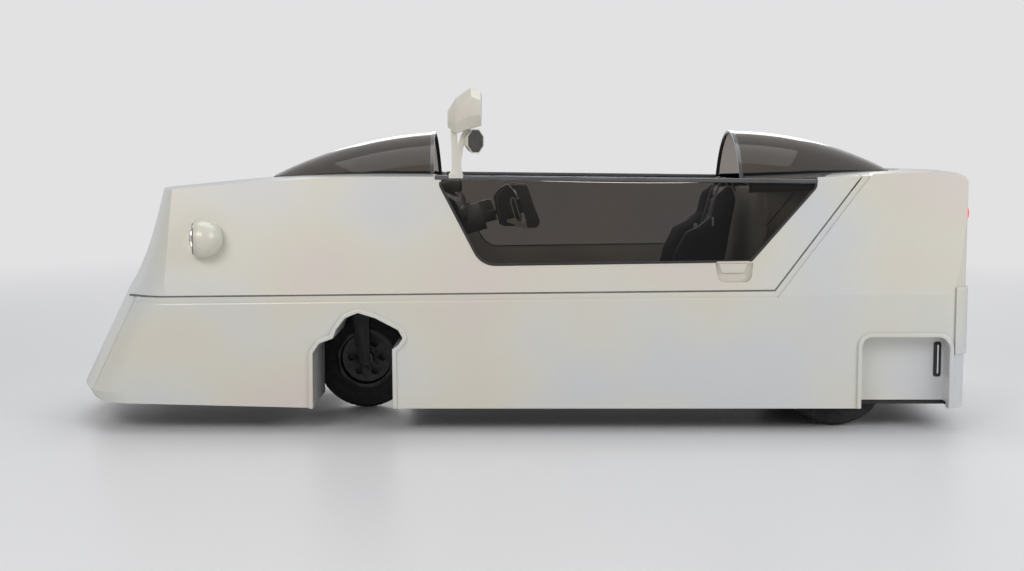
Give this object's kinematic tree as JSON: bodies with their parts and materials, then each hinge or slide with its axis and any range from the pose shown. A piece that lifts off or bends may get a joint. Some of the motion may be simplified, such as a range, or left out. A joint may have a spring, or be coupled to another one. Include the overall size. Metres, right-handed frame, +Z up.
{
  "type": "three wheeled car",
  "caption": "Low single-seat three wheeled car with a lift-up canopy, clear domes before and behind an open cockpit, and a steered front wheel.",
  "frame": {"origin": "on the floor at the middle of the car's length and width", "axes": "+X from nose to tail, +Y to the car's right, +Z up"},
  "size_m": [3.396, 1.192, 1.2599],
  "materials": {
    "pearl_white": "pearl gloss",
    "smoked_glass": "smoked",
    "dark_trim": "satin",
    "dark_plastic": "matt",
    "pale_liner": "satin",
    "seat_leather": "grained",
    "yoke_leather": "grained",
    "grey_steel": "satin",
    "tyre": "matt",
    "rim": "satin",
    "chrome": "polished",
    "lamp_glass": "clear",
    "red_lamp": "glossy",
    "blank_plate": "satin",
    "mirror_glass": "mirror"
  },
  "bodies": {
    "chassis": {"floor_pan": "dark_plastic", "body_side_left": "pearl_white", "body_side_right": "pearl_white", "rear_body": "pearl_white", "rear_bumper": "pearl_white", "arch_lips": "pearl_white", "recess_lips": "pearl_white", "arch_liners": "pale_liner", "recess_panels": "pearl_white", "wheel_housing": "dark_plastic", "wheel_boxes": "dark_plastic", "rear_bulkhead": "pale_liner", "dash": "dark_plastic", "steering_column": "dark_plastic", "steering_head": "grey_steel", "seat_base": "seat_leather", "seat_back": "seat_leather", "seat_sides": "seat_leather", "pedals": "dark_plastic", "battery_box": "dark_plastic", "motor": "grey_steel", "rear_axle": "grey_steel", "hinge_bracket": "grey_steel", "jack_pads": "dark_plastic", "tow_socket": "grey_steel", "tail_lamps": "red_lamp", "plate": "blank_plate"},
    "canopy": {"canopy_front": "pearl_white", "canopy_side_left": "pearl_white", "canopy_side_right": "pearl_white", "canopy_rear": "pearl_white", "deck_panels": "dark_trim", "front_dome": "smoked_glass", "rear_dome": "smoked_glass", "front_dome_rim": "dark_trim", "rear_dome_rim": "dark_trim", "side_windows": "smoked_glass", "window_rails": "dark_trim", "door_pulls": "pearl_white", "lamp_pods": "pearl_white", "lamp_rings": "chrome", "lamp_lenses": "lamp_glass", "mirror_stalk": "pearl_white", "mirror_shell": "pearl_white", "mirror_small": "pearl_white", "mirror_glasses": "mirror_glass", "hinge_lugs": "grey_steel"},
    "fork": {"front_fork": "grey_steel"},
    "wheel_front": {"tyre_front": "tyre", "rim_front": "rim"},
    "wheel_rear_left": {"tyre_rear_left": "tyre", "rim_rear_left": "rim"},
    "wheel_rear_right": {"tyre_rear_right": "tyre", "rim_rear_right": "rim"},
    "yoke": {"yoke": "yoke_leather"}
  },
  "joints": [
    {"name": "canopy_hinge", "type": "hinge", "parent": "chassis", "child": "canopy", "pos_m": [-1.595, 0, 0.15], "axis": [0, -1, 0], "range_deg": [0, 50]},
    {"name": "steer", "type": "hinge", "parent": "chassis", "child": "fork", "pos_m": [-0.633, 0, 0.45], "axis": [0, 0, 1], "range_deg": [-32, 32]},
    {"name": "front_wheel_spin", "type": "hinge", "parent": "fork", "child": "wheel_front", "pos_m": [-0.603, 0, 0.2], "axis": [0, -1, 0], "continuous": true},
    {"name": "rear_left_wheel_spin", "type": "hinge", "parent": "chassis", "child": "wheel_rear_left", "pos_m": [1.196, -0.38, 0.2], "axis": [0, -1, 0], "continuous": true},
    {"name": "rear_right_wheel_spin", "type": "hinge", "parent": "chassis", "child": "wheel_rear_right", "pos_m": [1.196, 0.38, 0.2], "axis": [0, -1, 0], "continuous": true},
    {"name": "yoke_turn", "type": "hinge", "parent": "chassis", "child": "yoke", "pos_m": [-0.012, 0, 0.808], "axis": [0.9613, 0, 0.2756], "range_deg": [-100, 100]}
  ],
  "couplings": [
    {"joint": "yoke_turn", "follows": "steer", "ratio": 3}
  ]
}
